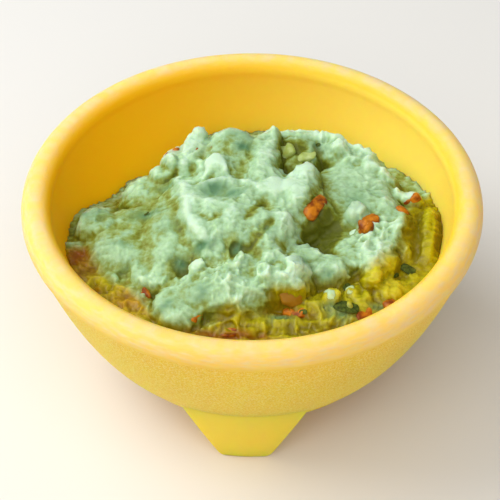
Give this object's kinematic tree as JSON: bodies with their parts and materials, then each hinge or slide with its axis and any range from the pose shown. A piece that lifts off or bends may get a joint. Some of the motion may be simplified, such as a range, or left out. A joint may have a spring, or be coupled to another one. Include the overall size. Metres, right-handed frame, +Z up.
{
  "type": "bowl of guacamole",
  "caption": "Footed yellow plastic salsa bowl filled with a rough heap of guacamole, with diced tomato and herb in it.",
  "frame": {"origin": "on the bowl's axis, level with the undersides of the feet", "axes": "+Z up, -Y towards the front foot"},
  "size_m": [0.125, 0.125, 0.0602],
  "materials": {
    "bowl_plastic": "yellow moulded plastic, smooth on the rim, inside and feet, with a fine stony grain on the outer wall",
    "guacamole": "moist mashed avocado, pale green on its crests and olive in its folds, with diced tomato, onion and chopped herb"
  },
  "bodies": {
    "root": {"bowl": "bowl_plastic", "guacamole": "guacamole"}
  },
  "joints": []
}
